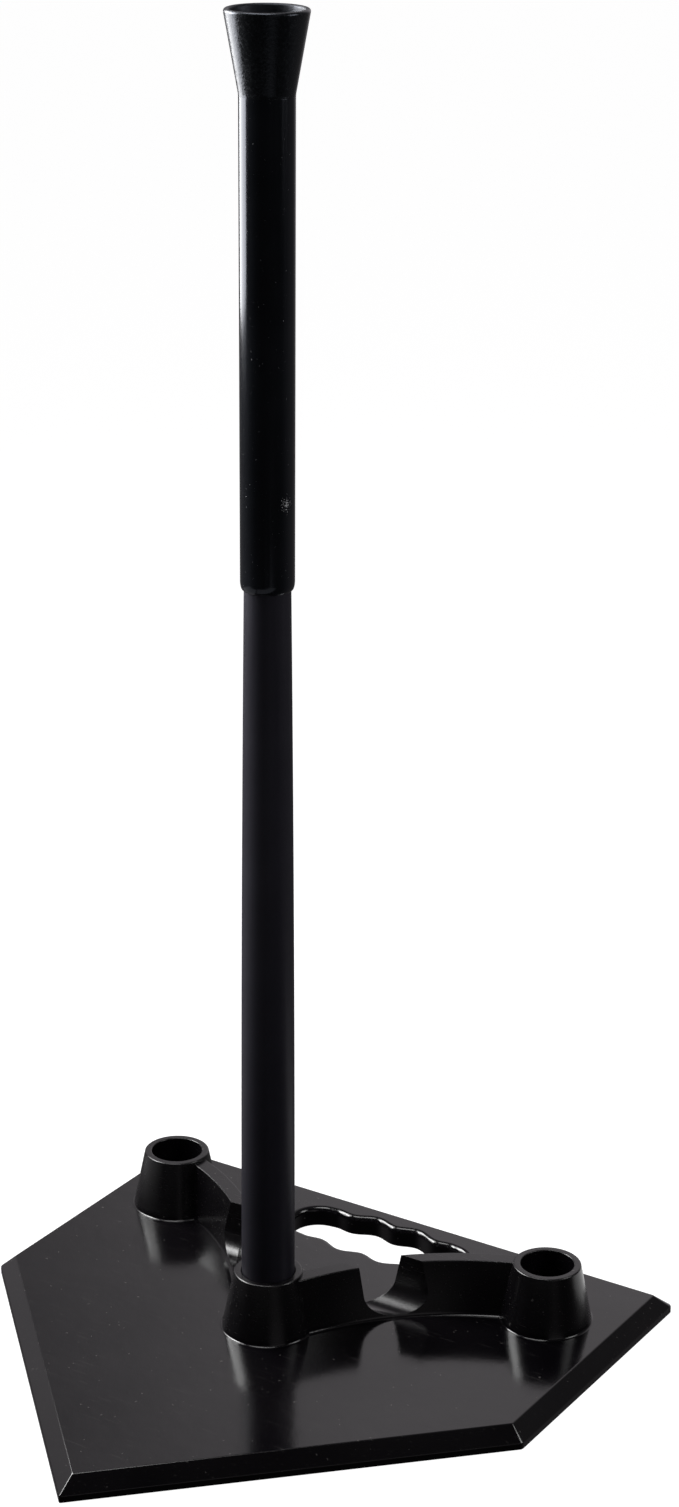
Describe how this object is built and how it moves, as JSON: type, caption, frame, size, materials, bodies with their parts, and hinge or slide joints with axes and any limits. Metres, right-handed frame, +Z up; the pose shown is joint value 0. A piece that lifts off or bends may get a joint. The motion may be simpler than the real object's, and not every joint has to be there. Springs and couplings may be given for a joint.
{
  "type": "batting tee",
  "caption": "Batting tee: home-plate rubber base with open sockets, a tapered stem, a sliding sleeve and a flared ball cup.",
  "frame": {"origin": "on the floor under the middle of the home-plate base", "axes": "+Z up along the stem; -Y towards the plate's pointed apex, +Y towards its long straight edge and the grip slot; +X to the right seen from the apex"},
  "size_m": [0.4318, 0.4313, 0.909],
  "materials": {
    "base_rubber": "glossy moulded black",
    "stem_rubber": "satin black",
    "sleeve_rubber": "glossy black",
    "cup_rubber": "semi-gloss black, finely textured"
  },
  "bodies": {
    "base": {"base_plate": "base_rubber"},
    "stem": {"lower_tube": "stem_rubber"},
    "sleeve": {"upper_tube": "sleeve_rubber", "ball_cup": "cup_rubber"}
  },
  "joints": [
    {"name": "stem_lift", "type": "slide", "parent": "base", "child": "stem", "axis": [0, 0, 1], "range_m": [0, 0.06]},
    {"name": "sleeve_slide", "type": "slide", "parent": "stem", "child": "sleeve", "axis": [0, 0, 1], "range_m": [0, 0.107]}
  ]
}
